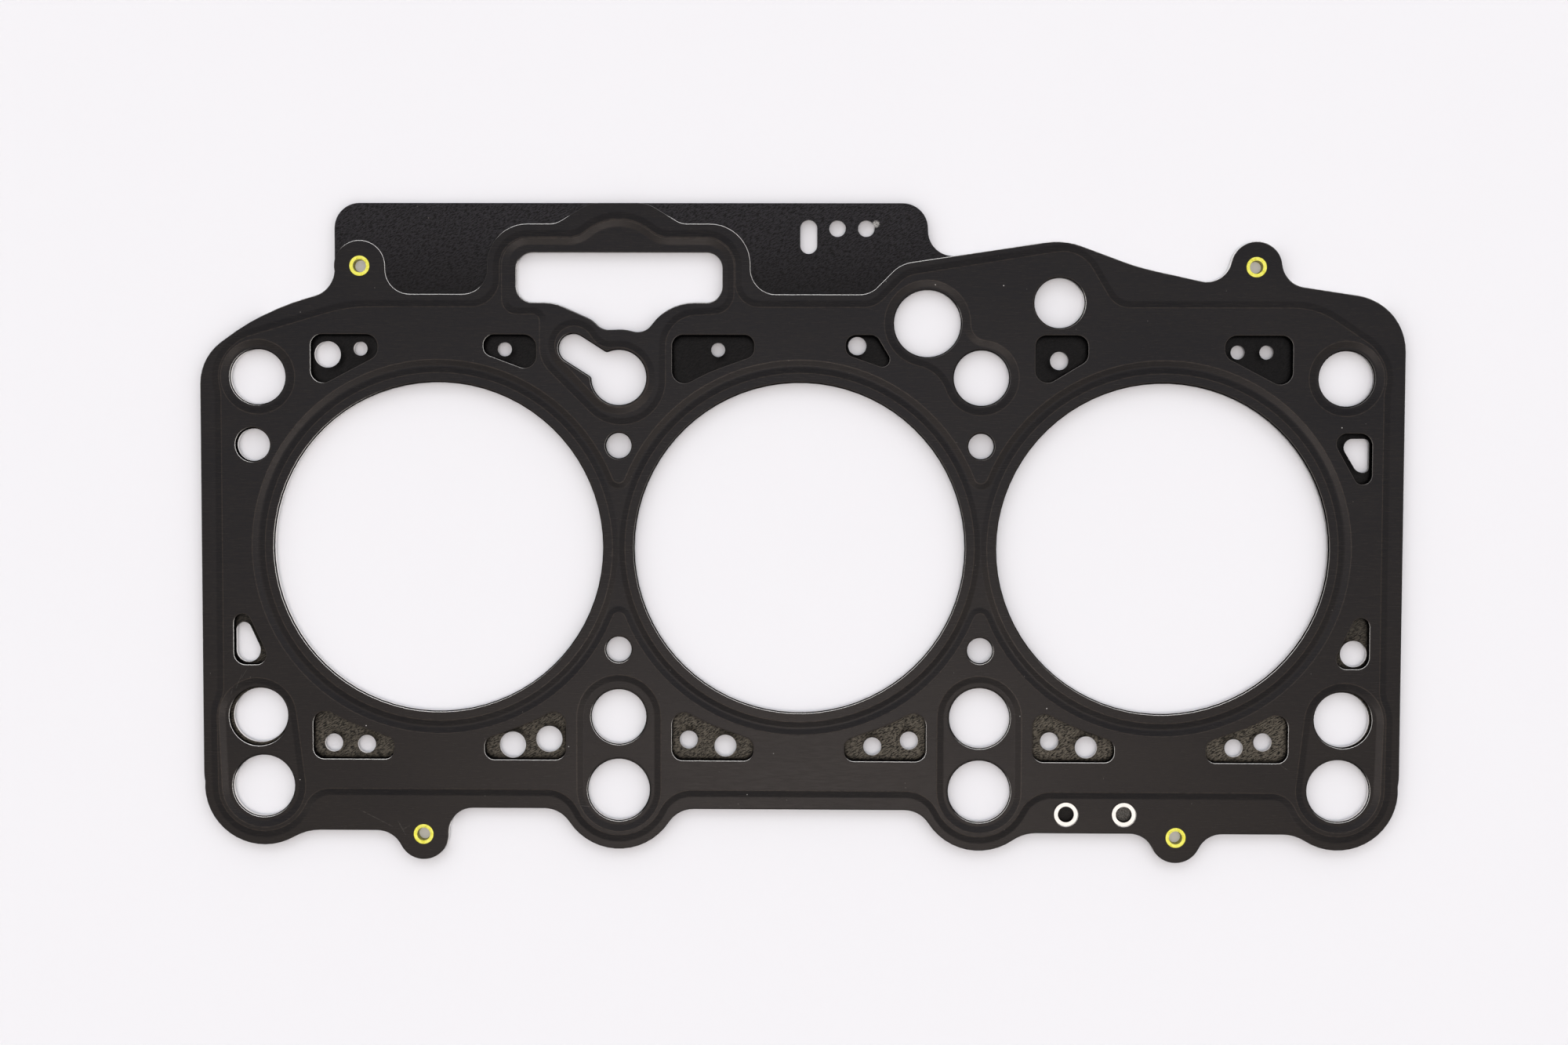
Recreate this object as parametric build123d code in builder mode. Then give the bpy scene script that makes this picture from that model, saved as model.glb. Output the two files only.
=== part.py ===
from build123d import *

import os
from math import acos, atan, cos, degrees, hypot, sin

# Cylinder head gasket of a three-cylinder engine, made of layered steel.
# A thick carrier plate lies between two thin spring-steel sheets. The sheets are
# mirror images of each other: each stands off the carrier round the cylinders and
# in the coolant field, and steps down onto it at the rim, round the bolts and along
# the groove that seals each cylinder. Four hollow rivets hold the stack together.
#
# Millimetres. The cylinders lie in a row along X, the tab with the thickness marks
# points to +Y, and the origin is on the middle cylinder's axis at the gasket's underside.

# Stack
sheet_thickness = 0.25
carrier_thickness = 1.03
form_height = 0.25
ramp_width = 1.6

carrier_base = form_height + sheet_thickness
upper_base = carrier_base + carrier_thickness

# Cylinders, and the sealing groove pressed into both sheets round each of them
bore_pitch = 88.0
web_width = 7.7
bore_radius = (bore_pitch - web_width) / 2
groove_radius = bore_radius + 3.95
groove_floor = 0.4
groove_ramp = 1.4
web_tip_radius = 1.6

# Openings in the sheets are wider than those in the carrier by this much all round
sheet_setback = 0.25

# Head bolts, in one row on each side of the cylinders; one of them lets oil past
bolt_x = 1.5 * bore_pitch
bolt_inner_x = 0.5 * bore_pitch
bolt_row = bore_radius + 1.25
bolt_radius = 6.7
oil_bolt_radius = 7.35
bolt_well = 9.1
bolt_land = 11.2

# Oil returns, one below each lower bolt
return_radius = 7.55
outer_return_x = bolt_x - 0.7
outer_return_y = bolt_row + 17.4
inner_return_y = bolt_row + 17.95
pair_well = 10.3
outer_pair_top = 9.6

# Coolant holes in the webs between the cylinders, and at the left end
web_hole_radius = 3.08
web_hole_y = bolt_row - 16.55
end_hole_x = -(bolt_x + 1.2)
end_hole_radius = 3.95

# Passages beside the tab
feed_x = bolt_inner_x - 13.15
feed_y = bolt_row + 13.15
feed_radius = 8.1
feed_well = 10.45
vent_x = bolt_inner_x + 18.7
vent_y = bolt_row + 18.15
vent_radius = 6.05

# Keyhole at the upper bolt between the left and the middle cylinder
key_x = -bolt_inner_x - 11.05
key_y = bolt_row + 7.0
key_radius = 3.5
key_blend = 1.0

# Outline
side_x = bolt_x + 14.1
lobe_radius = 14.6
ear_radius = 6.2
bottom_left_y = -(bolt_row + 28.3)
bottom_mid_y = -(bolt_row + 22.65)
bottom_right_y = -(bolt_row + 28.15)
tab_top = bolt_row + 42.1
tab_left = -bolt_x + 18.95
tab_right = feed_x
tab_corner = 6.1
seal_edge_y = bolt_row + 20.1

# Rivets: barrel, bore and flange
rivet_places = (
    (-bolt_x + 25.0, bolt_row + 26.9),
    (bolt_x - 22.0, bolt_row + 26.8),
    (-bore_pitch - 4.05, -bolt_row - 29.2),
    (bore_pitch + 4.05, -bolt_row - 29.1),
)
rivet_bore = 1.58
rivet_wall = 0.32
rivet_flange = 2.47
rivet_head = 0.2
rivet_fit = 0.03

# Two bright flat rings, sunk in holes of the upper sheet
ring_places = (
    (bolt_inner_x + 21.3, -bolt_row - 23.5),
    (bolt_inner_x + 35.4, -bolt_row - 23.5),
)
ring_radius = 2.88
ring_bore = 1.96
ring_height = 0.22
ring_fit = 0.08

# Coolant windows in the sheets: the straight wall stands beside the bolts
window_wall = bolt_inner_x - 12.95
window_end = 11.1
upper_window_y = bolt_row + 10.35
lower_window_y = bolt_row + 10.7
window_depth = 13.75
window_tip = 5.08
window_bend = 9.0
window_slope = 0.525
side_window_x = bolt_x + 6.4

# Thickness marks in the tab: a slot and two round holes
mark_y = tab_top - 6.1
mark_radius = 2.0
mark_places = (tab_right - 21.85, tab_right - 14.9)
slot_x = tab_right - 28.8
slot_y = mark_y - 2.0
slot_height = 8.2
slot_width = 4.1

ramp_taper = degrees(atan(ramp_width / form_height))
groove_taper = degrees(atan(groove_ramp / form_height))
bores = [(-bore_pitch, 0), (0, 0), (bore_pitch, 0)]
returns = [
    (-outer_return_x, -outer_return_y),
    (-bolt_inner_x, -inner_return_y),
    (bolt_inner_x, -inner_return_y),
    (outer_return_x, -outer_return_y),
]
key_bolt = (-bolt_inner_x, bolt_row)
bolts = [
    (-bolt_x, bolt_row, bolt_radius),
    (bolt_inner_x, bolt_row, bolt_radius),
    (bolt_x, bolt_row, bolt_radius),
    (-bolt_x, -bolt_row, bolt_radius),
    (-bolt_inner_x, -bolt_row, bolt_radius),
    (bolt_inner_x, -bolt_row, oil_bolt_radius),
    (bolt_x, -bolt_row, bolt_radius),
]
# The sheets are opened further at both ends of the lower bolt row and at the end hole
end_reliefs = [
    (-bolt_x - 0.45, -bolt_row - 0.3, bolt_radius + 0.65),
    (bolt_x + 0.35, -bolt_row - 0.05, bolt_radius + 0.3),
    (end_hole_x - 0.2, web_hole_y, end_hole_radius + 0.3),
]


def polygon(*corners):
    """A face from corners (x, y, radius); each corner is rounded by its own radius."""
    with BuildSketch() as face:
        with BuildLine():
            FilletPolyline(*[c[:2] for c in corners], radius=[c[2] for c in corners], close=True)
        make_face()
    return face.sketch


def disc(x, y, radius):
    with BuildSketch() as face:
        with Locations((x, y)):
            Circle(radius)
    return face.sketch


def band(*circles):
    """The stretched outline round circles (x, y, radius)."""
    with BuildSketch() as face:
        for x, y, radius in circles:
            with Locations((x, y)):
                Circle(radius)
        make_hull()
    return face.sketch


def joined(faces, blends=()):
    """Faces fused into one, with the corner nearest to each (x, y) rounded by its radius."""
    with BuildSketch() as face:
        for item in faces:
            add(item)
        for x, y, radius in blends:
            fillet(face.vertices().sort_by_distance((x, y, 0))[0], radius)
    return face.sketch


def tangent_corner(centre, far, near_radius, far_radius, side):
    """Where the common tangent of two circles touches the first one."""
    dx = far[0] - centre[0]
    dy = far[1] - centre[1]
    reach = hypot(dx, dy)
    lean = side * acos((near_radius - far_radius) / reach)
    nx = (dx * cos(lean) - dy * sin(lean)) / reach
    ny = (dx * sin(lean) + dy * cos(lean)) / reach
    return centre[0] + near_radius * nx, centre[1] + near_radius * ny


def outline(upper_edge, blends):
    """The plate outline: the lower edge, its lobes and ears, closed by an upper edge."""
    ear_x, ear_y = rivet_places[2]
    ear_side = ear_x + ear_radius
    right_ear = rivet_places[3][0]
    top_ear, top_ear_y = rivet_places[1]
    lower_edge = [
        (-side_x, bottom_left_y, lobe_radius),
        (ear_x, bottom_left_y, 0),
        (ear_x, ear_y, 0),
        (ear_side, ear_y, 0),
        (ear_side, bottom_mid_y, 5.9),
        (bolt_inner_x, bottom_mid_y, 0),
        (bolt_inner_x, bottom_right_y, 0),
        (side_x, bottom_right_y, lobe_radius),
    ]
    lobes = [disc(x, y, lobe_radius) for x, y in returns]
    ears = [disc(x, y, ear_radius) for x, y in rivet_places]
    foot = [
        (-outer_return_x + 9.5, bottom_left_y, 13.0),
        (ear_x - ear_radius, bottom_left_y, 6.6),
        (-bolt_inner_x - 13.7, bottom_mid_y, 7.3),
        (-bolt_inner_x + 13.7, bottom_mid_y, 7.3),
        (bolt_inner_x - 13.7, bottom_mid_y, 7.0),
        (bolt_inner_x + 10.3, bottom_right_y, 10.0),
        (right_ear - ear_radius, bottom_right_y, 6.2),
        (right_ear + ear_radius, bottom_right_y, 6.3),
        (outer_return_x - 9.4, bottom_right_y, 10.0),
        (top_ear + 5.0, top_ear_y - 3.6, 6.1),
        (top_ear - 6.2, top_ear_y - 2.9, 5.9),
    ]
    return joined([polygon(*lower_edge, *upper_edge), *lobes, *ears], foot + blends)


# The right shoulder and the hump over the vent are common to all three plates
shoulder = [
    (side_x, bolt_row + 18.3, 13.8),
    (bolt_x - 22.0, bolt_row + 23.8, 0),
    (bolt_x - 30.5, bolt_row + 22.4, 30.0),
    (vent_x + 18.8, bolt_row + 26.8, 60.0),
    (vent_x + 1.0, vent_y + 15.25, 17.5),
]
left_flank = [
    (tab_left, bolt_row + 21.1, 6.6),
    (-bolt_x + 0.9, bolt_row + 15.85, 62.0),
    (-side_x, bolt_row + 4.45, 12.5),
]


def carrier_outline():
    tab = [
        (tab_right, bolt_row + 28.45, tab_corner),
        (tab_right, tab_top, tab_corner),
        (tab_left, tab_top, tab_corner),
    ]
    return outline([*shoulder, *tab, *left_flank], [])


def sheet_outline():
    """The sheets stop short of the tab: their edge runs past the rivet and the case opening."""
    ear_x, ear_y = rivet_places[0]
    axis_x = key_bolt[0]
    loop_half = 31.95
    loop_top = tab_top - 5.0
    seal_edge = [
        (feed_x - 6.55, bolt_row + 27.5, 8.0),
        (feed_x - 13.9, seal_edge_y, 6.0),
        (axis_x + loop_half, seal_edge_y, 6.2),
        (axis_x + loop_half, loop_top, 9.8),
        (axis_x + 15.2, loop_top, 5.0),
        (axis_x + 7.0, tab_top, 8.0),
        (axis_x - 7.0, tab_top, 8.0),
        (axis_x - 15.2, loop_top, 5.0),
        (axis_x - loop_half, loop_top, 9.8),
        (axis_x - loop_half, seal_edge_y, 6.0),
        (ear_x + ear_radius, seal_edge_y, 6.0),
        (ear_x + ear_radius, ear_y, 0),
        (tab_left, ear_y, 0),
    ]
    return outline([*shoulder, *seal_edge, *left_flank], [])


def window_corner(bore_x, side, row, far, *inner):
    """A coolant window beside a bolt; inner corners are (distance from the wall, rise, radius)."""
    wall = bore_x + side * window_wall
    near = far - window_depth
    corners = [(wall, row * far, 2.7), (wall, row * near, 3.0)]
    for along, depth, radius in inner:
        corners.append((wall - side * along, row * (near + depth), radius))
    end, _, radius = inner[-1]
    corners.append((wall - side * end, row * far, radius))
    return polygon(*corners)


def windows():
    """Coolant windows of the sheets, wider than the metering holes below them."""
    long_edge = [
        (window_bend, window_bend * window_slope, 40.0),
        (window_wall - window_end, window_depth - window_tip, 2.4),
    ]
    short = 16.4
    short_edge = [(short, short * window_slope, 2.9)]
    middle = 12.8
    middle_slope = 0.6
    middle_edge = [(middle, middle * middle_slope, 2.7)]
    shapes = [
        window_corner(-bore_pitch, -1, 1, upper_window_y, *short_edge),
        window_corner(0, -1, 1, upper_window_y, *long_edge),
        window_corner(bore_pitch, -1, 1, upper_window_y, *middle_edge),
        window_corner(bore_pitch, 1, 1, upper_window_y, *short_edge),
    ]
    for bore_x, _ in bores:
        for side in (-1, 1):
            shapes.append(window_corner(bore_x, side, -1, lower_window_y, *long_edge))
    left_end = -bore_pitch + window_end
    left_wall = -bolt_inner_x - 20.0
    shapes.append(
        polygon(
            (left_end, upper_window_y, 2.6),
            (left_end, upper_window_y - 4.65, 2.4),
            (left_wall, upper_window_y - 9.45, 3.0),
            (left_wall, upper_window_y, 3.2),
        )
    )
    shapes.append(
        polygon(
            (window_end, upper_window_y, 2.5),
            (window_end, upper_window_y - 4.7, 2.3),
            (bolt_inner_x - 19.9, upper_window_y - 9.25, 1.8),
            (bolt_inner_x - 25.5, upper_window_y, 2.5),
        )
    )
    low_wide = -web_hole_y - 4.15
    low_narrow = -web_hole_y + 8.35
    ends = (
        (1, bolt_x - 4.0, web_hole_y + 3.35, web_hole_y - 8.95),
        (1, bolt_x - 3.0, low_wide, low_narrow),
        (-1, bolt_x - 3.0, low_wide, low_narrow),
    )
    for side, near, wide_y, narrow_y in ends:
        shapes.append(
            polygon(
                (side * side_window_x, wide_y, 2.9),
                (side * near, wide_y, 2.5),
                (side * (bolt_x + 2.9), narrow_y, 1.9),
                (side * side_window_x, narrow_y, 2.2),
            )
        )
    return shapes


def keyhole(grow):
    """A slot that opens into a bolt hole."""
    reach_x = key_bolt[0] - key_x
    reach_y = key_bolt[1] - key_y
    reach = hypot(reach_x, reach_y)
    half = key_radius + grow
    step_x = -reach_y / reach * half
    step_y = reach_x / reach * half
    slot = [
        (key_x + step_x, key_y + step_y, 0),
        (key_bolt[0] + step_x, key_bolt[1] + step_y, 0),
        (key_bolt[0] - step_x, key_bolt[1] - step_y, 0),
        (key_x - step_x, key_y - step_y, 0),
    ]
    faces = [
        disc(key_x, key_y, half),
        polygon(*slot),
        disc(*key_bolt, bolt_radius + grow),
    ]
    above = (key_bolt[0] - 2.6, key_bolt[1] + 6.0, key_blend)
    below = (key_bolt[0] - 6.9, key_bolt[1] - 0.1, key_blend)
    return joined(faces, [above, below])


def case_opening(grow):
    """The large opening over the case, with a waist that clears the bolt below it."""
    axis_x, axis_y = key_bolt
    left = axis_x - 24.85
    right = axis_x + 25.2
    top = tab_top - 11.85
    shelf = axis_y + 18.15
    corner = 3.9
    edge = polygon(
        (left, top, corner),
        (left, shelf, corner),
        (axis_x - 15.7, shelf, 12.0),
        (axis_x - 6.45, axis_y + 13.95, 6.0),
        (axis_x - 3.95, axis_y + 11.45, 4.0),
        (axis_x + 1.4, axis_y + 11.65, 9.0),
        (axis_x + 6.35, axis_y + 10.45, 4.1),
        (axis_x + 11.95, shelf, 12.8),
        (right, shelf, corner),
        (right, top, corner),
    )
    with BuildSketch() as face:
        add(edge)
        if grow:
            offset(amount=grow, mode=Mode.REPLACE)
    return face.sketch


def through_holes(grow):
    """Openings that all three plates share, larger in the sheets than in the carrier."""
    faces = [disc(x, y, bore_radius + grow) for x, y in bores]
    faces += [disc(x, y, radius + grow) for x, y, radius in bolts]
    faces += [disc(x, y, return_radius + grow) for x, y in returns]
    for x in (-bolt_inner_x, bolt_inner_x):
        for y in (-web_hole_y, web_hole_y):
            faces.append(disc(x, y, web_hole_radius + grow))
    faces.append(disc(end_hole_x, web_hole_y, end_hole_radius + grow))
    faces.append(disc(feed_x, feed_y, feed_radius + grow))
    faces.append(disc(vent_x, vent_y, vent_radius + grow))
    faces += [disc(x, y, rivet_bore + rivet_wall + rivet_fit) for x, y in rivet_places]
    faces.append(keyhole(grow))
    faces.append(case_opening(grow / 4))
    if grow:
        faces += [disc(*relief) for relief in end_reliefs]
    return faces


def metering_holes():
    """Holes of the carrier inside the coolant windows; they set the coolant flow."""
    small, middle, wide, large = 1.7, 2.22, 2.7, 3.22
    # Cylinder, side, distance in from the window's wall, distance out from the bolt row, radius
    upper_row = (
        (-1, -1, 4.1, 5.45, large),
        (-1, -1, 12.15, 6.85, small),
        (-1, 1, 14.75, 6.75, small),
        (0, -1, 11.2, 6.7, small),
        (0, 1, 17.15, 7.7, middle),
        (1, -1, 5.8, 4.2, middle),
        (1, 1, 13.3, 6.3, small),
        (1, 1, 6.35, 6.3, small),
    )
    lower_row = (
        (-1, -1, 5.0, 6.75, middle),
        (-1, -1, 13.1, 7.05, middle),
        (-1, 1, 13.1, 7.05, large),
        (-1, 1, 4.15, 5.6, large),
        (0, -1, 4.15, 5.6, middle),
        (0, -1, 13.1, 7.05, wide),
        (0, 1, 13.1, 7.05, middle),
        (0, 1, 4.15, 5.6, middle),
        (1, -1, 4.15, 5.6, middle),
        (1, -1, 13.1, 7.05, wide),
        (1, 1, 13.1, 7.05, middle),
        (1, 1, 6.1, 5.6, middle),
    )
    faces = []
    for row, places in ((1, upper_row), (-1, lower_row)):
        for cylinder, side, inset, out, radius in places:
            x = cylinder * bore_pitch + side * (window_wall - inset)
            faces.append(disc(x, row * (bolt_row + out), radius))
    faces.append(disc(bolt_x + 2.65, -web_hole_y - 0.45, large))
    left_round = (-bolt_x - 2.9, -web_hole_y - 0.55, 2.95)
    left_tip = (-bolt_x - 4.0, -web_hole_y + 4.45, 1.85)
    faces.append(band(left_round, left_tip))
    top = web_hole_y + 2.1
    tip = web_hole_y - 6.1
    faces.append(
        polygon(
            (bolt_x - 2.05, top, 2.15),
            (bolt_x + 2.85, tip, 2.5),
            (bolt_x + 5.7, tip, 1.3),
            (bolt_x + 5.7, top, 1.3),
        )
    )
    return faces


def field_outline():
    """Foot of the ramp that rises from the rim to the raised field."""
    axis_x = key_bolt[0]
    foot_side = side_x - 3.5
    foot_low = -(bolt_row + 19.6)
    foot_high = bolt_row + 18.6
    loop_left = axis_x - 30.5
    loop_right = axis_x + 29.9
    loop_top = tab_top - 6.6
    body = polygon(
        (-foot_side, foot_low, 0),
        (foot_side, foot_low, 0),
        (foot_side, bolt_row + 6.8, 11.0),
        (bolt_x - 7.0, foot_high, 20.0),
        (vent_x + 14.4, foot_high, 4.5),
        (vent_x + 5.8, vent_y + 14.95, 10.0),
        (feed_x - 5.75, feed_y + 13.05, 8.0),
        (feed_x - 13.35, foot_high, 5.0),
        (loop_right, foot_high, 4.2),
        (loop_right, loop_top, 8.8),
        (loop_left, loop_top, 8.5),
        (loop_left, foot_high, 5.4),
        (-bolt_x + 22.0, foot_high, 38.0),
        (-foot_side, bolt_row + 9.0, 11.5),
    )
    pair_foot = pair_well + 2.5
    top_foot = outer_pair_top + 2.3
    collars = [disc(x, y, pair_foot) for x, y in returns[1:3]]
    for side in (-1, 1):
        outer_return = (side * outer_return_x, -outer_return_y, pair_foot)
        outer_bolt = (side * (bolt_x + 0.4), -(bolt_row + 0.6), top_foot)
        collars.append(band(outer_return, outer_bolt))
    lands = [disc(side * bolt_x, bolt_row, bolt_land) for side in (-1, 1)]
    arch_radius = 14.0
    arch = disc(axis_x, tab_top - 2.2 - arch_radius, arch_radius)
    pair_half = 12.6
    blends = [
        (axis_x - 10.2, loop_top, 5.5),
        (axis_x + 10.2, loop_top, 5.5),
    ]
    for side in (-1, 1):
        blends.append((side * (outer_return_x - 12.4), foot_low, 5.0))
        blends.append((side * bolt_inner_x - pair_half, foot_low, 7.0))
        blends.append((side * bolt_inner_x + pair_half, foot_low, 7.0))
        blends.append((side * foot_side, -bolt_row + 5.6, 6.0))
        blends.append((side * foot_side, bolt_row - 4.4, 6.0))
    return joined([body, *collars, *lands, arch], blends)


def case_well():
    """Top edge of the low ground round the case opening and the keyhole."""
    axis_x = key_bolt[0]
    left = axis_x - 28.4
    right = axis_x + 28.0
    top = tab_top - 8.5
    shelf = bolt_row + 15.25
    neck_left = axis_x - 19.2
    neck_right = axis_x + 11.4
    frame = polygon(
        (left, top, 6.6),
        (left, shelf, 3.6),
        (neck_left, shelf, 1.7),
        (neck_left, bolt_row + 3.8, 8.2),
        (neck_right, bolt_row - 26.73, 10.8),
        (neck_right, shelf - 0.6, 7.5),
        (right, shelf + 0.3, 5.0),
        (right, top, 6.9),
    )
    arch = disc(axis_x, tab_top - 16.2, 12.1)
    arch_half = 9.4
    return joined([frame, arch], [(axis_x - arch_half, top, 6.5), (axis_x + arch_half, top, 6.5)])


def key_island():
    """Foot of the raised land that carries the keyhole inside the low ground."""
    narrow = (key_x + 0.25, key_y + 0.7)
    narrow_radius = 6.3
    wide_radius = 8.9
    first = tangent_corner(narrow, key_bolt, narrow_radius, wide_radius, -1)
    second = tangent_corner(key_bolt, narrow, wide_radius, narrow_radius, 1)
    flank = polygon((*narrow, 0), (*first, 0), (*second, 0), (*key_bolt, 0))
    faces = [disc(*narrow, narrow_radius), disc(*key_bolt, wide_radius), flank]
    return joined(faces, [(key_bolt[0] - 4.5, key_bolt[1] + 9.1, 4.0)])


def wells():
    """Top edges of the low ground round the bolts, the passages and the case opening."""
    feed_pair = joined(
        [disc(feed_x, feed_y, feed_well), disc(bolt_inner_x, bolt_row, bolt_well)],
        [
            (bolt_inner_x - 2.7, bolt_row + 8.6, 4.0),
            (bolt_inner_x - 10.5, bolt_row + 3.0, 9.0),
        ],
    )
    return [
        disc(-bolt_x, bolt_row, bolt_well),
        disc(bolt_x, bolt_row, bolt_well),
        feed_pair,
        case_well(),
        band((-bolt_x - 0.7, -bolt_row - 0.4, outer_pair_top), (*returns[0], pair_well)),
        band((-bolt_inner_x, -bolt_row, pair_well), (*returns[1], pair_well)),
        band((bolt_inner_x, -bolt_row, pair_well), (*returns[2], pair_well)),
        band((bolt_x + 0.5, -bolt_row - 0.6, outer_pair_top), (*returns[3], pair_well)),
    ]


def sunk(faces, taper):
    """Cutters that are full size at the top of the form and narrow towards its base."""
    with BuildPart() as cutters:
        for face in faces:
            with BuildSketch(Plane.XY):
                add(face)
            extrude(amount=form_height, taper=taper)
        mirror(about=Plane.XY.offset(form_height / 2), mode=Mode.REPLACE)
    return cutters.part


def raised_form():
    """The solid under the raised ground of a sheet, on the level of its rim."""
    lip = groove_radius + groove_floor / 2 + groove_ramp
    inner_foot = groove_radius - groove_floor / 2
    tip_y = (lip**2 - (bore_pitch / 2) ** 2) ** 0.5
    tips = [
        (side * bore_pitch / 2, row * tip_y, web_tip_radius) for side in (-1, 1) for row in (-1, 1)
    ]
    ring = joined([disc(x, y, lip) for x, y in bores], tips)
    with BuildPart() as form:
        with BuildSketch(Plane.XY):
            add(field_outline())
        extrude(amount=form_height, taper=ramp_taper)
        add(sunk(wells(), ramp_taper), mode=Mode.SUBTRACT)
        add(sunk([ring], groove_taper), mode=Mode.SUBTRACT)
        with BuildSketch(Plane.XY):
            add(key_island())
        extrude(amount=form_height, taper=ramp_taper)
        for x, y in bores:
            with BuildSketch(Plane.XY):
                add(disc(x, y, inner_foot))
            extrude(amount=form_height, taper=groove_taper)
    return form.part


def sheet(extra_holes):
    """One formed sheet with its rim on z = 0 and its raised ground above it."""
    form = raised_form()
    with BuildPart() as plate:
        with BuildSketch(Plane.XY):
            add(sheet_outline())
        extrude(amount=sheet_thickness)
        add(form.moved(Location((0, 0, sheet_thickness))))
        add(form, mode=Mode.SUBTRACT)
        with BuildSketch(Plane.XY):
            for face in [*through_holes(sheet_setback), *windows(), *extra_holes]:
                add(face)
        extrude(amount=sheet_thickness + form_height, mode=Mode.SUBTRACT)
    return plate.part


with BuildPart() as carrier_plate:
    with BuildSketch(Plane.XY.offset(carrier_base)):
        add(carrier_outline())
    extrude(amount=carrier_thickness)
    with BuildSketch(Plane.XY.offset(carrier_base)):
        for opening in [*through_holes(0), *metering_holes()]:
            add(opening)
        for mark_x in mark_places:
            with Locations((mark_x, mark_y)):
                Circle(mark_radius)
        with Locations((slot_x, slot_y)):
            SlotOverall(slot_height, slot_width, rotation=90)
    extrude(amount=carrier_thickness, mode=Mode.SUBTRACT)

ring_seats = [disc(x, y, ring_radius + ring_fit) for x, y in ring_places]

with BuildPart() as upper_active_layer:
    add(sheet(ring_seats).moved(Location((0, 0, upper_base))))

with BuildPart() as lower_active_layer:
    add(sheet([]).moved(Location((0, 0, carrier_base))))
    mirror(about=Plane.XY.offset(carrier_base), mode=Mode.REPLACE)


def rivet(x, y):
    """A hollow rivet: a barrel with a rolled flange on each face of the rim."""
    low = carrier_base - sheet_thickness - rivet_head
    high = upper_base + sheet_thickness + rivet_head
    barrel = rivet_bore + rivet_wall
    with BuildPart() as body:
        with BuildSketch(Plane.XZ):
            with BuildLine():
                Polyline(
                    (rivet_bore, low),
                    (rivet_flange, low),
                    (rivet_flange, low + rivet_head),
                    (barrel, low + rivet_head),
                    (barrel, high - rivet_head),
                    (rivet_flange, high - rivet_head),
                    (rivet_flange, high),
                    (rivet_bore, high),
                    close=True,
                )
            make_face()
        revolve(axis=Axis.Z)
        levels = body.edges().filter_by(GeomType.CIRCLE).group_by(Axis.Z)
        chamfer(levels[0] + levels[-1], 0.6 * rivet_head)
    return body.part.moved(Location((x, y, 0)))


def flat_ring(x, y):
    with BuildPart() as body:
        with BuildSketch(Plane.XY.offset(upper_base)):
            with Locations((x, y)):
                Circle(ring_radius)
                Circle(ring_bore, mode=Mode.SUBTRACT)
        extrude(amount=ring_height)
    return body.part


os.makedirs("parts", exist_ok=True)
rivet_names = (
    "rivet_upper_left",
    "rivet_upper_right",
    "rivet_lower_left",
    "rivet_lower_right",
)
ring_names = ("flat_ring_left", "flat_ring_right")

pieces = {
    "carrier_plate": carrier_plate.part,
    "upper_active_layer": upper_active_layer.part,
    "lower_active_layer": lower_active_layer.part,
}
for name, place in zip(rivet_names, rivet_places):
    pieces[name] = rivet(*place)
for name, place in zip(ring_names, ring_places):
    pieces[name] = flat_ring(*place)

for name, piece in pieces.items():
    piece.label = name
    export_step(piece, f"parts/{name}.step")
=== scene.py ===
import math

import bmesh
import bpy
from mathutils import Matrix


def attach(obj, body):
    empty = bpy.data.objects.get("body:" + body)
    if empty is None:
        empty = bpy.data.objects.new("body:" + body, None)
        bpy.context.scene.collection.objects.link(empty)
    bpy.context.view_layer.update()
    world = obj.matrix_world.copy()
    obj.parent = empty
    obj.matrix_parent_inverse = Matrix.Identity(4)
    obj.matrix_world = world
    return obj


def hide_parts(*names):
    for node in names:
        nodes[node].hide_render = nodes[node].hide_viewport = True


# Looks of the head gasket: coatings, cut edges, rolled rivets, floor, light and camera.
# The scene is in metres. Places and patterns on the part are in millimetres, in the frame of the
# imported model: X along the cylinder row, +Y towards the tab, +Z up.

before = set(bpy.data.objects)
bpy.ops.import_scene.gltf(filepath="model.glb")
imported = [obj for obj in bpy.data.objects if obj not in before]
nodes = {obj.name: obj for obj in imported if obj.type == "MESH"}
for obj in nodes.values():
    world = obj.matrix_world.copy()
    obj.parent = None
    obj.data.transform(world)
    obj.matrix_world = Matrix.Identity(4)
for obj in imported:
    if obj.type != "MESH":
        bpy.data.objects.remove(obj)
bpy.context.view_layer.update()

MM = 0.001

# Places on the part: rivets, seats of the two flat rings, chip in the tab's coat
RIVETS = {
    "rivet_upper_left": (-107.0, 68.3), "rivet_upper_right": (110.0, 68.2),
    "rivet_lower_left": (-92.05, -70.6), "rivet_lower_right": (92.05, -70.5),
}
SMOOTH_SEAT = (65.3, -64.9)
SPECKLED_SEAT = (79.4, -64.9)
SEAT_RADIUS = 2.2
CHIP = (18.3, 78.5)
CHIP_RADIUS = 0.55
# Above this, the sheet's edge beside the case opening gets no painted highlight and stays dull
TAB_SHOULDER_Y = 81.0
# Fixed place that the painted crevice shade lies away from
SHADE_FROM = (0.0, 24.0, 0.0)

# Scratches in the upper coat: middle, length, width and angle
SCRATCHES = (
    (-22.4, -65.8, 5.4, 0.10, 52.0),
    (-19.8, -64.2, 3.0, 0.08, 40.0),
    (-137.2, -33.0, 4.6, 0.10, 66.0),
    (-135.9, -31.2, 3.2, 0.08, 58.0),
    (-139.0, -35.4, 2.6, 0.08, 74.0),
    (-104.0, -66.6, 11.0, 0.09, -27.0),
    (-97.4, -69.2, 4.5, 0.13, -62.0),
    (-96.3, -69.0, 2.8, 0.10, 30.0),
    (-52.0, -63.5, 3.4, 0.10, -8.0),
    (61.0, 64.0, 4.0, 0.08, 18.0),
    (118.0, -53.0, 3.8, 0.08, -35.0),
)

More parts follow.
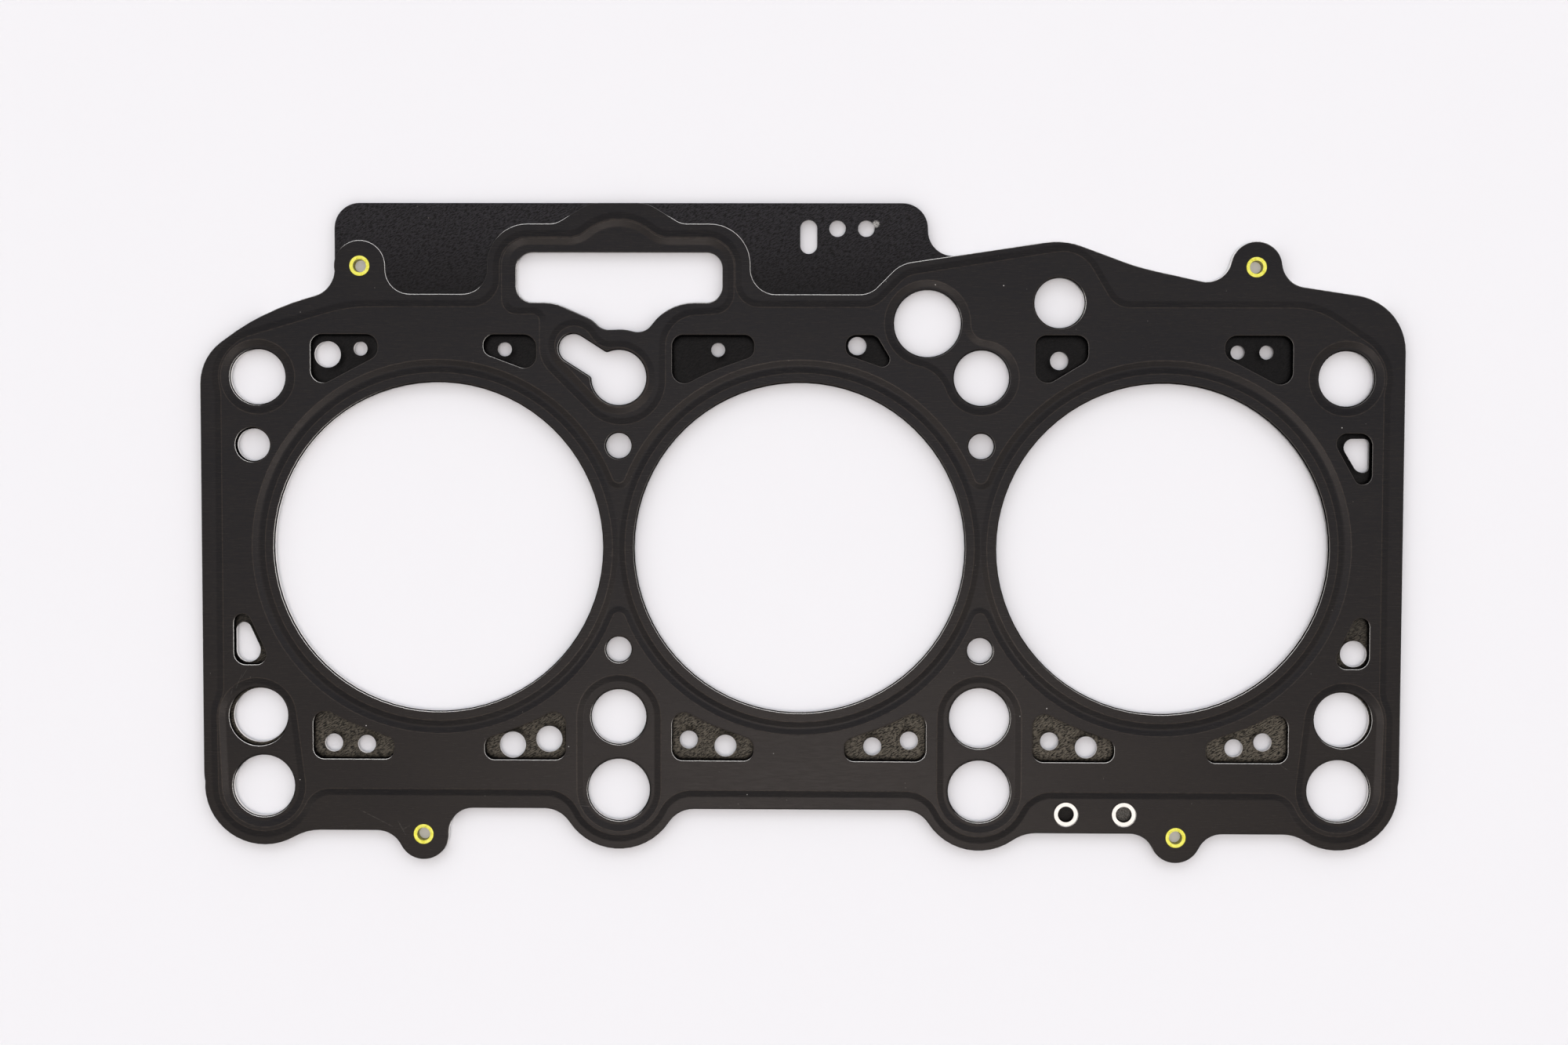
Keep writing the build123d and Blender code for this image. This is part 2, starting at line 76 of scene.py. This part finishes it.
# Section of a set rivet: radius and height
ROLLED_HEAD = [
    (1.90, 1.76), (1.90, 1.782), (2.36, 1.785), (2.45, 1.83), (2.46, 1.88), (2.41, 1.94), (2.28, 1.975),
    (2.10, 1.98), (1.94, 1.96), (1.84, 1.90), (1.77, 1.86), (1.70, 1.89), (1.63, 1.88), (1.585, 1.80),
    (1.58, 1.68),
]
CURLED_FOOT = [
    (1.56, 0.62), (1.50, 0.42), (1.43, 0.27), (1.42, 0.15), (1.50, 0.07), (1.66, 0.052), (2.20, 0.052),
    (2.40, 0.09), (2.46, 0.15), (2.45, 0.20), (2.36, 0.245), (1.90, 0.248), (1.90, 0.27),
]
RIVET_SEGMENTS = 72

# Patterns: turn of the carrier's grain in degrees, radius of a worn edge, samples of the shading nodes
GRAIN_TURN = 30.0
EDGE_RADIUS = 0.30
BEVEL_SAMPLES = 6
SHADE_SAMPLES = 12

# The floor: half its side in metres, and how far below the part it lies in millimetres
FLOOR_HALF = 2.0
FLOOR_DROP = 0.02

# The tent: the walls' level and how far it leans to the tab's side, the heights of a direction (0 to 1)
# between which ceiling turns to wall, and the ceiling's level
WALL_LEVEL = 1.18
WALL_LEAN = 0.45
WALL_STARTS = 0.74
WALL_FULL = 0.48
CEILING = 0.62
# Glows in the ceiling: level, place and width across, place and width along, tint
GLOWS = (
    (0.85, 0.0, 0.34, 0.02, 0.10, (1.0, 0.96, 1.03)),
    (7.80, 0.0, 0.085, -0.197, 0.023, (1.0, 0.90, 0.87)),
    (2.40, 0.0, 0.34, -0.182, 0.036, (1.0, 0.76, 0.56)),
    (0.45, 0.03, 0.12, -0.50, 0.12, (1.0, 0.90, 0.82)),
)

CAMERA_PLACE = (0.003038, 0.024327, 0.451469)
CAMERA_TURN = (-2.2981, 0.8705, 0.152)
CAMERA_LENS = 42.48


class Graph:
    """Small helpers that add and link the nodes of one tree."""

    def __init__(self, tree):
        self.tree = tree

    def put(self, socket, value):
        if isinstance(value, bpy.types.NodeSocket):
            self.tree.links.new(value, socket)
        else:
            socket.default_value = value

    def math(self, operation, *values):
        node = self.tree.nodes.new("ShaderNodeMath")
        node.operation = operation
        for socket, value in zip(node.inputs, values):
            self.put(socket, value)
        return node.outputs[0]

    def vector(self, operation, *values, scale=None):
        node = self.tree.nodes.new("ShaderNodeVectorMath")
        node.operation = operation
        for socket, value in zip(node.inputs, values):
            self.put(socket, value)
        if scale is not None:
            self.put(node.inputs["Scale"], scale)
        return node.outputs["Value" if operation in ("DOT_PRODUCT", "LENGTH") else "Vector"]

    def axis(self, vector, name):
        node = self.tree.nodes.new("ShaderNodeSeparateXYZ")
        self.put(node.inputs[0], vector)
        return node.outputs[name]

    def span(self, value, low, high, start=0.0, end=1.0):
        """The value's smooth step from low to high, as start to end."""
        node = self.tree.nodes.new("ShaderNodeMapRange")
        node.interpolation_type = "SMOOTHSTEP"
        names = ("Value", "From Min", "From Max", "To Min", "To Max")
        for name, number in zip(names, (value, low, high, start, end)):
            self.put(node.inputs[name], number)
        return node.outputs[0]

    def blend(self, factor, first, second):
        """The first colour where the factor is 0, the second where it is 1."""
        node = self.tree.nodes.new("ShaderNodeMix")
        node.data_type = "RGBA"
        self.put(node.inputs[0], factor)
        self.put(node.inputs[6], first)
        self.put(node.inputs[7], second)
        return node.outputs[2]


class Shading(Graph):
    """A material: its principled shader is fed by small node networks in millimetres."""

    def __init__(self, name):
        self.material = bpy.data.materials.new(name)
        self.material.use_nodes = True
        super().__init__(self.material.node_tree)
        self.shader = self.tree.nodes["Principled BSDF"]
        coordinates = self.tree.nodes.new("ShaderNodeTexCoord")
        self.place = self.vector("SCALE", coordinates.outputs["Object"], scale=1 / MM)
        self.normal = coordinates.outputs["Normal"]
        self.upright = self.math("ABSOLUTE", self.axis(self.normal, "Z"))

    def set(self, name, value):
        self.put(self.shader.inputs[name], value)

    def laid(self, size, turn=0.0):
        """Coordinates in which a pattern's cell has this size, turned about Z by this angle in degrees."""
        node = self.tree.nodes.new("ShaderNodeMapping")
        node.inputs["Rotation"].default_value = (0, 0, math.radians(-turn))
        self.put(node.inputs["Vector"], self.place)
        return self.vector("DIVIDE", node.outputs[0], size)

    def noise(self, size, detail=2.0, roughness=0.5, turn=0.0, distortion=0.0):
        node = self.tree.nodes.new("ShaderNodeTexNoise")
        self.put(node.inputs["Vector"], self.laid(size, turn))
        node.inputs["Scale"].default_value = 1.0
        node.inputs["Detail"].default_value = detail
        node.inputs["Roughness"].default_value = roughness
        node.inputs["Distortion"].default_value = distortion
        return node.outputs["Fac"]

    def specks(self, spacing, radius, share):
        """1 on small round specks: one to a cell, in this share of the cells."""
        node = self.tree.nodes.new("ShaderNodeTexVoronoi")
        self.put(node.inputs["Vector"], self.laid((spacing, spacing, spacing)))
        node.inputs["Scale"].default_value = 1.0
        near = self.span(node.outputs["Distance"], radius / spacing, 0.4 * radius / spacing)
        chosen = self.span(self.axis(node.outputs["Color"], "X"), 1 - share, 1.001 - share)
        return self.math("MULTIPLY", near, chosen)

    def shade(self, distance, normal):
        """1 in the open, falling towards 0 where walls stand near on the side that the normal leans to."""
        node = self.tree.nodes.new("ShaderNodeAmbientOcclusion")
        node.samples = SHADE_SAMPLES
        node.inputs["Distance"].default_value = distance * MM
        self.put(node.inputs["Normal"], normal)
        return node.outputs["AO"]

    def spot(self, place, radius, edge=0.15):
        """1 inside the upright cylinder round this place."""
        away = self.vector("SUBTRACT", self.place, (*place, 0.0))
        away = self.vector("MULTIPLY", away, (1.0, 1.0, 0.0))
        return self.span(self.vector("LENGTH", away), radius + edge, radius)

    def rounded(self, radius):
        """The normal as if edges were rounded to this radius."""
        node = self.tree.nodes.new("ShaderNodeBevel")
        node.samples = BEVEL_SAMPLES
        node.inputs["Radius"].default_value = radius * MM
        return node.outputs[0]

    def marks(self, places):
        """1 on short straight marks, each given by its middle, length, width and angle."""
        total = None
        for x, y, long, thin, turn in places:
            angle = math.radians(turn)
            offset = self.vector("SUBTRACT", self.place, (x, y, 0.0))
            lengthways = (math.cos(angle), math.sin(angle), 0.0)
            sideways = (-math.sin(angle), math.cos(angle), 0.0)
            along = self.math("ABSOLUTE", self.vector("DOT_PRODUCT", offset, lengthways))
            aside = self.math("ABSOLUTE", self.vector("DOT_PRODUCT", offset, sideways))
            along = self.span(along, 0.5 * long, 0.3 * long)
            mark = self.math("MULTIPLY", along, self.span(aside, thin, 0.3 * thin))
            total = mark if total is None else self.math("MAXIMUM", total, mark)
        return total

    def cut(self):
        """1 on walls that were cut through the plate, 0 on flats and ramps."""
        return self.span(self.upright, 0.7, 0.3)

    def steel_with_painted_highlight(self, normal):
        """Sheared steel with a painted highlight: bright, by place, on edges that face the middle or the
        tab, and dull elsewhere.
        """
        dull, bright = (0.055, 0.05, 0.048, 1), (0.93, 0.91, 0.885, 1)
        across, up = self.axis(self.place, "X"), self.axis(self.place, "Y")
        inward = self.vector("NORMALIZE", self.vector("MULTIPLY", self.place, (-1.0, 0.0, 0.0)))
        tab = self.span(up, 54.0, 60.0)
        bottom = self.math("MULTIPLY", self.span(up, 20.0, -40.0), 0.75)
        ends = self.math("MAXIMUM", tab, bottom)
        ends = self.math("MULTIPLY", ends, self.span(up, TAB_SHOULDER_Y, TAB_SHOULDER_Y - 1.4))
        upward = self.vector("SCALE", (0.0, 0.8, 0.0), scale=self.span(ends, 0.0, 0.5, 0.15, 1.0))
        lit_side = self.vector("ADD", upward, self.vector("SCALE", inward, scale=0.6))
        facing = self.vector("DOT_PRODUCT", normal, lit_side)
        highlight_break_up = self.noise((0.9, 0.9, 0.9), detail=1.0)
        # Noise breaks up the edge of the painted highlight
        facing = self.math("MULTIPLY_ADD", highlight_break_up, 0.16, self.math("SUBTRACT", facing, 0.08))
        left = self.span(across, -30.0, -100.0)
        highlight_by_place = self.math("MULTIPLY_ADD", self.math("MAXIMUM", left, ends), 0.86, 0.14)
        level = self.math("MULTIPLY", self.span(facing, -0.02, 0.30), highlight_by_place)
        return self.blend(level, dull, bright)

    def relief(self, height, depth, normal=None):
        """Bump from a height pattern of 0 to 1, this many millimetres deep."""
        node = self.tree.nodes.new("ShaderNodeBump")
        node.inputs["Strength"].default_value = 1.0
        node.inputs["Distance"].default_value = depth * MM
        self.put(node.inputs["Height"], height)
        if normal is not None:
            self.put(node.inputs["Normal"], normal)
        return node.outputs[0]


def sheet_coating():
    """Thin satin coat on rolled spring steel: brown on crests, dusty, scratched, bare at cut edges, where
    the steel carries a painted highlight.
    """
    dark, light = (0.0064, 0.0056, 0.0068, 1), (0.0116, 0.0097, 0.0094, 1)
    brown = (0.042, 0.033, 0.027, 1)
    pale_dust, grey_dust = (0.72, 0.70, 0.68, 1), (0.16, 0.15, 0.14, 1)
    scratched = (0.060, 0.056, 0.052, 1)
    edge_roughness = (0.26, 0.26, 0.26, 1)
    s = Shading("sheet_coating")
    grain = s.noise((3.2, 0.26, 3.0), detail=3.0, roughness=0.6)
    mottle = s.noise((1.6, 0.7, 2.0), detail=2.0)
    clouds = s.noise((34.0, 13.0, 20.0), detail=3.0)
    soft = s.rounded(0.45)
    near_edge = s.vector("DOT_PRODUCT", s.rounded(EDGE_RADIUS), s.normal)
    edge = s.span(near_edge, 0.976, 0.915)
    bare = s.math("MAXIMUM", edge, s.cut())
    tone = s.math("ADD", s.math("MULTIPLY", grain, 0.45), s.math("MULTIPLY", clouds, 0.30))
    tone = s.math("MULTIPLY_ADD", mottle, 0.25, tone)
    colour = s.blend(s.span(tone, 0.36, 0.64), dark, light)
    height = s.axis(s.place, "Z")
    crest = s.math("MULTIPLY", s.span(near_edge, 0.9999, 0.9990), s.span(height, 1.95, 2.02))
    crest = s.math("MULTIPLY", crest, s.span(mottle, 0.3, 0.6, 0.4, 1.0))
    colour = s.blend(crest, colour, brown)
    colour = s.blend(s.specks(5.5, 0.16, 0.30), colour, pale_dust)
    colour = s.blend(s.specks(2.4, 0.11, 0.22), colour, grey_dust)
    broken = s.span(grain, 0.35, 0.6)
    colour = s.blend(s.math("MULTIPLY", s.marks(SCRATCHES), broken), colour, scratched)
    # Bare edges take the sheared steel colour with its painted highlight
    s.set("Base Color", s.blend(bare, colour, s.steel_with_painted_highlight(s.rounded(EDGE_RADIUS))))
    s.set("Metallic", bare)
    s.set("Roughness", s.blend(bare, s.span(grain, 0.3, 0.7, 0.22, 0.28), edge_roughness))
    s.shader.inputs["Specular IOR Level"].default_value = 0.19
    s.set("Normal", s.relief(grain, 0.0022, soft))
    return s.material


def carrier_coating():
    """Thick dark coat with a slanted grain, and painted light: a painted sheen makes it paler towards the
    tab's outer edge, and a painted warm light makes it brown in the lower half.
    """
    black, painted_sheen_slate, brown = (0.0026, 0.0024, 0.0027, 1), (0.0150, 0.0142, 0.0165, 1), (0.064, 0.056, 0.044, 1)
    smooth, dark_speckle = (0.0075, 0.0066, 0.0062, 1), (0.035, 0.033, 0.030, 1)
    pale_speckle, dust = (0.115, 0.107, 0.098, 1), (0.30, 0.27, 0.22, 1)
    chipped, painted_shade_black = (0.42, 0.41, 0.40, 1), (0.0012, 0.0012, 0.0013, 1)
    cut_roughness = (0.28, 0.28, 0.28, 1)
    s = Shading("carrier_coating")
    strokes = s.noise((1.0, 0.25, 0.5), detail=2.0, roughness=0.6, turn=GRAIN_TURN, distortion=0.2)
    fine = s.noise((0.36, 0.16, 0.26), detail=1.0, turn=GRAIN_TURN)
    grain = s.math("ADD", s.math("MULTIPLY", strokes, 0.72), s.math("MULTIPLY", fine, 0.28))
    across, up = s.axis(s.place, "X"), s.axis(s.place, "Y")
    # Painted warm light: brown in the lower half, more so to the right, with stronger grain contrast there
    below = s.math("MULTIPLY", s.span(up, 8.0, -48.0), s.span(across, -170.0, 130.0, 0.72, 1.0))
    # Painted sheen: paler slate towards the tab's outer edge
    colour = s.blend(s.span(up, 50.0, 84.0), black, painted_sheen_slate)
    colour = s.blend(below, colour, brown)
    valley = s.math("MULTIPLY_ADD", below, -0.20, 0.20)
    ridge = s.math("MULTIPLY_ADD", below, 0.20, 1.90)
    colour = s.vector("SCALE", colour, scale=s.span(grain, 0.40, 0.60, valley, ridge))
    colour = s.blend(s.spot(SMOOTH_SEAT, SEAT_RADIUS), colour, smooth)
    speckle = s.blend(s.span(fine, 0.4, 0.6), dark_speckle, pale_speckle)
    colour = s.blend(s.spot(SPECKLED_SEAT, SEAT_RADIUS), colour, speckle)
    colour = s.blend(s.specks(3.2, 0.14, 0.22), colour, dust)
    chip = s.math("MULTIPLY", s.spot(CHIP, CHIP_RADIUS, edge=0.5), s.span(fine, 0.42, 0.5))
    colour = s.blend(chip, colour, chipped)
    # Painted shade: dark corner between the carrier and the sheet's cut wall, on each pocket's outer side
    away = s.vector("MULTIPLY", s.vector("SUBTRACT", s.place, SHADE_FROM), (1.0, 2.2, 0.0))
    lean = s.vector("ADD", s.vector("SCALE", s.vector("NORMALIZE", away), scale=0.85), (0.0, 0.0, 0.5))
    painted_crevice_shade = s.span(s.shade(1.8, s.vector("NORMALIZE", lean)), 0.88, 0.72)
    cut = s.cut()
    off_tab = s.math("MULTIPLY", s.math("SUBTRACT", 1.0, cut), s.span(up, 62.0, 58.0))
    painted_crevice_shade = s.math("MULTIPLY", painted_crevice_shade, off_tab)
    colour = s.blend(painted_crevice_shade, colour, painted_shade_black)
    # Cut walls take the sheared steel colour with its painted highlight
    s.set("Base Color", s.blend(cut, colour, s.steel_with_painted_highlight(s.normal)))
    # Metallic in the painted shade takes the coat's sheen away, so the corner turns near black
    s.set("Metallic", s.math("MAXIMUM", cut, painted_crevice_shade))
    s.set("Roughness", s.blend(cut, s.span(grain, 0.35, 0.65, 0.40, 0.26), cut_roughness))
    s.shader.inputs["Specular IOR Level"].default_value = 0.13
    s.set("Normal", s.relief(grain, 0.10))
    return s.material


def rivet_plating():
    """Yellow passivated zinc, with painted shade in olive on steep faces, where the flange curls over and
    inside the barrel.
    """
    deep, bright = (0.80, 0.76, 0.055, 1), (0.93, 0.91, 0.17, 1)
    worn, olive = (0.36, 0.34, 0.05, 1), (0.27, 0.25, 0.03, 1)
    s = Shading("rivet_plating")
    tint = s.noise((0.9, 0.9, 0.9), detail=3.0, roughness=0.6)
    colour = s.blend(s.span(tint, 0.3, 0.7), deep, bright)
    colour = s.blend(s.specks(0.8, 0.11, 0.22), colour, worn)
    # Painted shade: olive on steep faces, in the curl and inside the barrel
    steep_painted_shade = s.span(s.upright, 0.86, 0.40)
    s.set("Base Color", s.blend(steep_painted_shade, colour, olive))
    s.set("Metallic", 0.3)
    s.set("Roughness", s.span(tint, 0.3, 0.7, 0.24, 0.38))
    s.set("Normal", s.relief(tint, 0.03))
    return s.material


def bare_steel():
    """Bright blanked steel, finely brushed, with dull spots."""
    grey, bright, dull = (0.80, 0.79, 0.77, 1), (0.92, 0.91, 0.89, 1), (0.45, 0.43, 0.38, 1)
    s = Shading("bare_steel")
    brushed = s.noise((0.10, 1.5, 1.0), detail=2.0, turn=20.0)
    colour = s.blend(brushed, grey, bright)
    s.set("Base Color", s.blend(s.specks(1.1, 0.12, 0.3), colour, dull))
    s.set("Metallic", 0.75)
    s.set("Roughness", s.span(brushed, 0.3, 0.7, 0.34, 0.46))
    s.set("Normal", s.relief(brushed, 0.006))
    return s.material


def lathe(name, profile, x, y):
    """A closed smooth ring mesh round the vertical axis at x, y, from its section in millimetres."""
    mesh = bpy.data.meshes.new(name)
    build = bmesh.new()
    rings = []
    for radius, height in profile:
        ring = []
        for k in range(RIVET_SEGMENTS):
            angle = 2 * math.pi * k / RIVET_SEGMENTS
            east, north = x + radius * math.cos(angle), y + radius * math.sin(angle)
            ring.append(build.verts.new((east * MM, north * MM, height * MM)))
        rings.append(ring)
    for inner, outer in zip(rings, rings[1:] + rings[:1]):
        for k in range(RIVET_SEGMENTS):
            face = build.faces.new((inner[k - 1], inner[k], outer[k], outer[k - 1]))
            face.smooth = True
    bmesh.ops.recalc_face_normals(build, faces=build.faces)
    build.to_mesh(mesh)
    build.free()
    piece = bpy.data.objects.new(name, mesh)
    bpy.context.scene.collection.objects.link(piece)
    return piece


def rolled_rivets(material):
    """Each rivet with its flange rolled over above and curled in below, in place of the plain one."""
    for name, (x, y) in RIVETS.items():
        piece = lathe("rolled_" + name, ROLLED_HEAD + CURLED_FOOT, x, y)
        piece.data.materials.append(material)
        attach(piece, "root")
        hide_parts(name)


def dress(names, material):
    """Give these CAD nodes this material and slot."""
    for name in names:
        slots = nodes[name].data.materials
        slots.clear()
        slots.append(material)


def floor():
    """Pale paper, a hair below the part."""
    mesh = bpy.data.meshes.new("floor")
    half, height = FLOOR_HALF, -FLOOR_DROP * MM
    corners = [(-half, -half, height), (half, -half, height), (half, half, height), (-half, half, height)]
    mesh.from_pydata(corners, [], [(0, 1, 2, 3)])
    plane = bpy.data.objects.new("floor", mesh)
    bpy.context.scene.collection.objects.link(plane)
    s = Shading("paper")
    paper = s.noise((30.0, 30.0, 30.0), detail=3.0)
    s.set("Base Color", s.blend(paper, (0.920, 0.926, 0.966, 1), (0.928, 0.934, 0.974, 1)))
    s.shader.inputs["Roughness"].default_value = 0.9
    s.shader.inputs["Specular IOR Level"].default_value = 0.1
    mesh.materials.append(s.material)


def key_light():
    """A weak, soft key from beyond the tab, about halfway up."""
    data = bpy.data.lights.new("key", "SUN")
    data.energy = 0.14
    data.angle = math.radians(30.0)
    lamp = bpy.data.objects.new("key", data)
    lamp.rotation_euler = (math.radians(-52.0), 0.0, 0.0)
    bpy.context.scene.collection.objects.link(lamp)


def surround():
    """A light tent: pale walls, brighter beyond the tab, and a dim ceiling with soft glows."""
    near_side, far_side = (1.0, 0.965, 0.93, 1), (0.985, 0.99, 1.01, 1)
    world = bpy.data.worlds.new("surround")
    bpy.context.scene.world = world
    world.use_nodes = True
    g = Graph(world.node_tree)
    direction = g.tree.nodes.new("ShaderNodeTexCoord").outputs["Generated"]
    x, y, z = (g.axis(direction, name) for name in "XYZ")
    low = g.span(z, WALL_STARTS, WALL_FULL)
    flat_squared = g.math("MAXIMUM", g.math("SUBTRACT", 1.0, g.math("MULTIPLY", z, z)), 0.01)
    toward = g.math("DIVIDE", y, g.math("SQRT", flat_squared))
    walls = g.math("MULTIPLY", low, g.math("MULTIPLY_ADD", toward, WALL_LEAN, WALL_LEVEL))
    strength = g.math("MULTIPLY_ADD", g.math("SUBTRACT", 1.0, low), CEILING, walls)
    light = g.vector("SCALE", g.blend(g.span(toward, -1.0, 1.0), near_side, far_side), scale=strength)
    for level, x_at, x_width, y_at, y_width, tint in GLOWS:
        aside = g.math("DIVIDE", g.math("SUBTRACT", x, x_at), x_width)
        along = g.math("DIVIDE", g.math("SUBTRACT", y, y_at), y_width)
        spread = g.math("ADD", g.math("MULTIPLY", aside, aside), g.math("MULTIPLY", along, along))
        glow = g.math("EXPONENT", g.math("MULTIPLY", spread, -0.5))
        glow = g.math("MULTIPLY", g.math("MULTIPLY", glow, level), g.span(z, 0.0, 0.6))
        light = g.vector("ADD", light, g.vector("SCALE", tint, scale=glow))
    background = g.tree.nodes["Background"]
    g.put(background.inputs["Color"], light)


def camera():
    """Almost straight above, a little above the middle cylinder and rolled by a fraction of a degree."""
    data = bpy.data.cameras.new("camera")
    data.sensor_width = 36.0
    data.lens = CAMERA_LENS
    data.clip_start = 0.01
    data.clip_end = 20.0
    eye = bpy.data.objects.new("camera", data)
    eye.location = CAMERA_PLACE
    eye.rotation_euler = [math.radians(angle) for angle in CAMERA_TURN]
    bpy.context.scene.collection.objects.link(eye)
    bpy.context.scene.camera = eye


dress(["upper_active_layer", "lower_active_layer"], sheet_coating())
dress(["carrier_plate"], carrier_coating())
plating = rivet_plating()
dress([name for name in nodes if name.startswith("rivet_")], plating)
rolled_rivets(plating)
dress([name for name in nodes if name.startswith("flat_ring_")], bare_steel())
floor()
key_light()
surround()
camera()
bpy.context.scene.view_settings.view_transform = "Standard"
